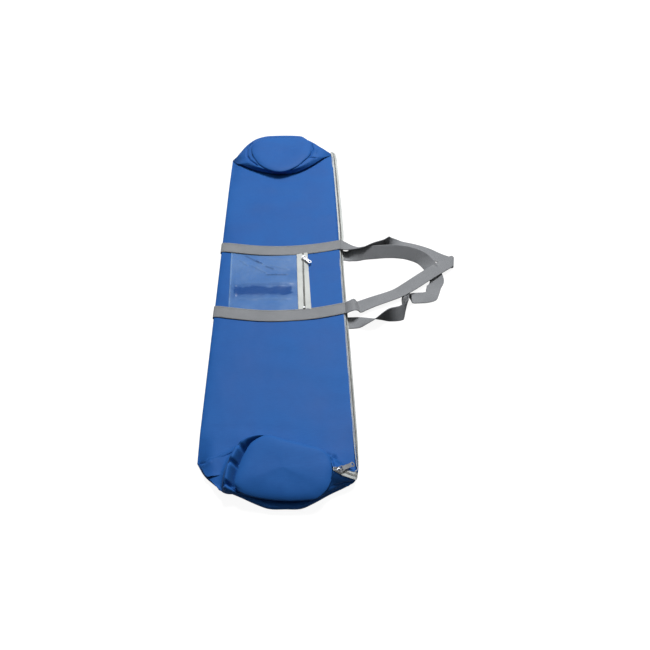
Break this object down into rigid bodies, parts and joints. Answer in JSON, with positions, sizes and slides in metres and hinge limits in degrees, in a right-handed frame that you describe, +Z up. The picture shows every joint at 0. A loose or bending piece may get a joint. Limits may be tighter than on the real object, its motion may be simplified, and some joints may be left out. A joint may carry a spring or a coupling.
{
  "type": "spine board carry bag",
  "caption": "Long soft carry bag for a rolled spine board, lying flat, with folded round ends, edge zip, webbing bands, clear pocket and carry handles.",
  "frame": {"origin": "on the floor under the bag, midway between the two webbing bands", "axes": "+X towards the zip edge and the handles, +Y along the bag away from the main zip's slider, +Z up from the floor"},
  "size_m": [0.5606, 1.1169, 0.055],
  "materials": {
    "bag_fabric": "royal blue woven polyester, matte with a slight sheen",
    "webbing": "grey ribbed polypropylene webbing",
    "zip_tape": "light grey woven zip tape",
    "zip_coil": "light grey nylon coil",
    "zip_metal": "bright nickel plated zip hardware",
    "clear_window": "clear flexible vinyl sheet",
    "seam_binding": "blue woven binding tape"
  },
  "bodies": {
    "bag": {"far_band": "webbing", "far_end_disc": "bag_fabric", "far_end_fold": "bag_fabric", "far_end_wall": "bag_fabric", "far_seam_binding": "seam_binding", "left_fold": "bag_fabric", "lower_panel": "bag_fabric", "main_zip_bottom_stop": "zip_metal", "main_zip_coil_lower": "zip_coil", "main_zip_coil_upper": "zip_coil", "main_zip_tape_lower": "zip_tape", "main_zip_tape_upper": "zip_tape", "main_zip_top_stop_lower": "zip_metal", "main_zip_top_stop_upper": "zip_metal", "near_band": "webbing", "near_end_disc": "bag_fabric", "near_end_fold": "bag_fabric", "near_end_wall": "bag_fabric", "near_seam_binding": "seam_binding", "pocket_hem": "zip_tape", "pocket_window": "clear_window", "pocket_zip_bottom_stop": "zip_metal", "pocket_zip_coil_left": "zip_coil", "pocket_zip_coil_right": "zip_coil", "pocket_zip_tape_left": "zip_tape", "pocket_zip_tape_right": "zip_tape", "pocket_zip_top_stop_left": "zip_metal", "pocket_zip_top_stop_right": "zip_metal", "upper_panel": "bag_fabric"},
    "main_slider": {"main_zip_slider": "zip_metal"},
    "main_pull": {"main_zip_pull": "zip_metal"},
    "pocket_slider": {"pocket_zip_slider": "zip_metal"},
    "pocket_pull": {"pocket_zip_pull": "zip_metal"},
    "front_handle_loop": {"front_handle": "webbing"},
    "back_handle_loop": {"back_handle": "webbing"}
  },
  "joints": [
    {"name": "main_zip_slide", "type": "slide", "parent": "bag", "child": "main_slider", "axis": [0.8098, -0.0228, -0.5862], "range_m": [0, 0.026]},
    {"name": "main_pull_hinge", "type": "hinge", "parent": "main_slider", "child": "main_pull", "pos_m": [0.10883, -0.49322, 0.04528], "axis": [0.4135, -0.8599, -0.2993], "range_deg": [0, 140]},
    {"name": "pocket_zip_slide", "type": "slide", "parent": "bag", "child": "pocket_slider", "axis": [0, -1, 0], "range_m": [0, 0.148]},
    {"name": "pocket_pull_hinge", "type": "hinge", "parent": "pocket_slider", "child": "pocket_pull", "pos_m": [0.053, 0.062, 0.0219], "axis": [-0.766, -0.6428, 0], "range_deg": [0, 140]},
    {"name": "front_handle_swing", "type": "hinge", "parent": "bag", "child": "front_handle_loop", "pos_m": [0.14846, 0, 0.0184], "axis": [0, -1, 0], "range_deg": [0, 150]},
    {"name": "back_handle_swing", "type": "hinge", "parent": "bag", "child": "back_handle_loop", "pos_m": [0.14846, 0, 0.0184], "axis": [0, -1, 0], "range_deg": [0, 150]}
  ],
  "couplings": [
    {"joint": "back_handle_swing", "follows": "front_handle_swing", "ratio": 1}
  ]
}
